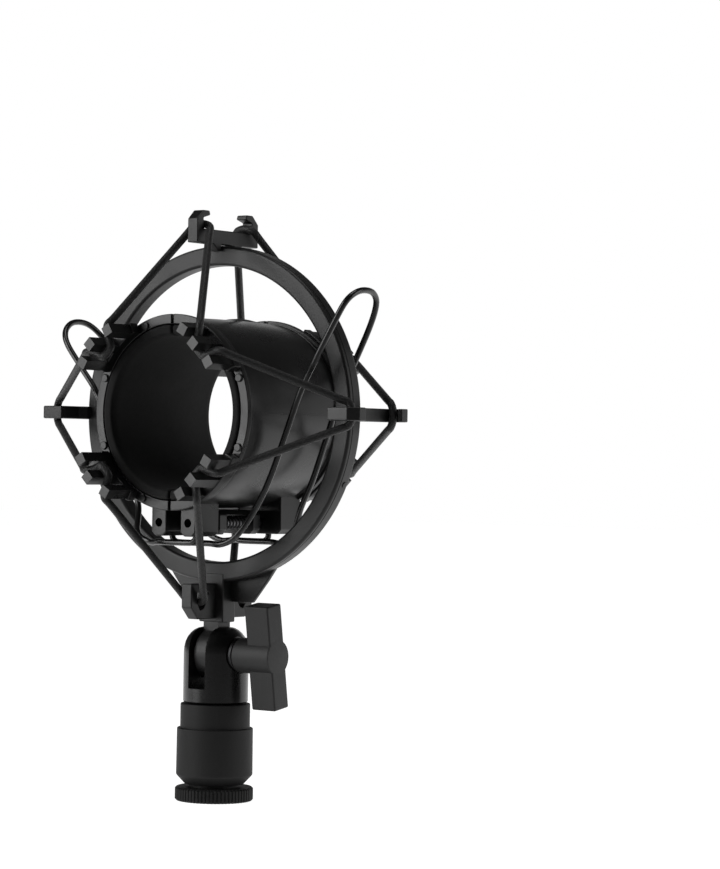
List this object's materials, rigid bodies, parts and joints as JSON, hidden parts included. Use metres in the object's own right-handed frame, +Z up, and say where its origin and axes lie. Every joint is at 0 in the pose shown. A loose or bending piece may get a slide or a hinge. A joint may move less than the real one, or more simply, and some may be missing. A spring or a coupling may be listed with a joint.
{
  "type": "microphone shock mount",
  "caption": "Spring-clamp microphone sleeve hung on elastic loops in a hooked ring, with squeeze wire handles and a tilting swivel stand adapter.",
  "frame": {"origin": "on the stand axis, in the bottom face of the thread adapter", "axes": "+Z up along the stand axis, -Y out of the sleeve's front end, +X towards the clamp lever"},
  "size_m": [0.1188, 0.0744, 0.1734],
  "materials": {
    "ring_plastic": "satin moulded",
    "sleeve_plastic": "satin moulded",
    "swivel_plastic": "satin moulded",
    "lever_plastic": "satin moulded",
    "adapter_plastic": "matt moulded",
    "soft_lining": "matt soft",
    "elastic_cord": "woven cover",
    "coated_wire": "gloss black",
    "spring_steel": "drawn",
    "zinc_steel": "zinc plated",
    "brass": "machined"
  },
  "bodies": {
    "adapter": {"thread_adapter": "adapter_plastic"},
    "socket": {"socket_barrel": "swivel_plastic", "yoke": "swivel_plastic", "clamp_bolt": "zinc_steel", "hub_washer": "spring_steel"},
    "lever": {"clamp_lever": "lever_plastic", "lever_insert": "brass"},
    "head": {"outer_ring": "ring_plastic", "hook_bar_top": "ring_plastic", "hook_bar_left": "ring_plastic", "hook_bar_right": "ring_plastic", "elastic_front": "elastic_cord", "elastic_rear": "elastic_cord"},
    "cradle": {"hinge_block": "sleeve_plastic", "hinge_pin_left": "zinc_steel", "hinge_pin_right": "zinc_steel", "torsion_spring_left": "spring_steel", "torsion_spring_right": "spring_steel"},
    "jaw_right": {"shell_right": "sleeve_plastic", "lining_right": "soft_lining", "cleat_front_upper_right": "sleeve_plastic", "cleat_front_lower_right": "sleeve_plastic", "cleat_rear_upper_right": "sleeve_plastic", "cleat_rear_lower_right": "sleeve_plastic", "handle_wire_left": "coated_wire"},
    "jaw_left": {"shell_left": "sleeve_plastic", "lining_left": "soft_lining", "cleat_front_upper_left": "sleeve_plastic", "cleat_front_lower_left": "sleeve_plastic", "cleat_rear_upper_left": "sleeve_plastic", "cleat_rear_lower_left": "sleeve_plastic", "handle_wire_right": "coated_wire"}
  },
  "joints": [
    {"name": "thread_turn", "type": "hinge", "parent": "adapter", "child": "socket", "pos_m": [0, 0, 0], "axis": [0, 0, 1], "continuous": true},
    {"name": "lever_turn", "type": "hinge", "parent": "socket", "child": "lever", "pos_m": [0, 0, 0.0432], "axis": [1, 0, 0], "continuous": true},
    {"name": "head_tilt", "type": "hinge", "parent": "socket", "child": "head", "pos_m": [0, 0, 0.0432], "axis": [1, 0, 0], "range_deg": [-90, 90]},
    {"name": "cradle_float", "type": "slide", "parent": "head", "child": "cradle", "axis": [0, 0, 1], "range_m": [-0.0035, 0.0035], "stiffness_N_per_m": 450, "springref_m": 0.0009, "deforming": ["elastic_front", "elastic_rear"]},
    {"name": "jaw_right_open", "type": "hinge", "parent": "cradle", "child": "jaw_right", "pos_m": [0.0054, 0, 0.082], "axis": [0, 1, 0], "range_deg": [0, 3], "stiffness_Nm_per_rad": 0.4, "springref_deg": -17.19, "deforming": ["torsion_spring_right"]},
    {"name": "jaw_left_open", "type": "hinge", "parent": "cradle", "child": "jaw_left", "pos_m": [-0.0054, 0, 0.082], "axis": [0, 1, 0], "range_deg": [-3, 0], "stiffness_Nm_per_rad": 0.4, "springref_deg": 17.19, "deforming": ["torsion_spring_left"]}
  ],
  "couplings": [
    {"joint": "jaw_left_open", "follows": "jaw_right_open", "ratio": -1}
  ]
}
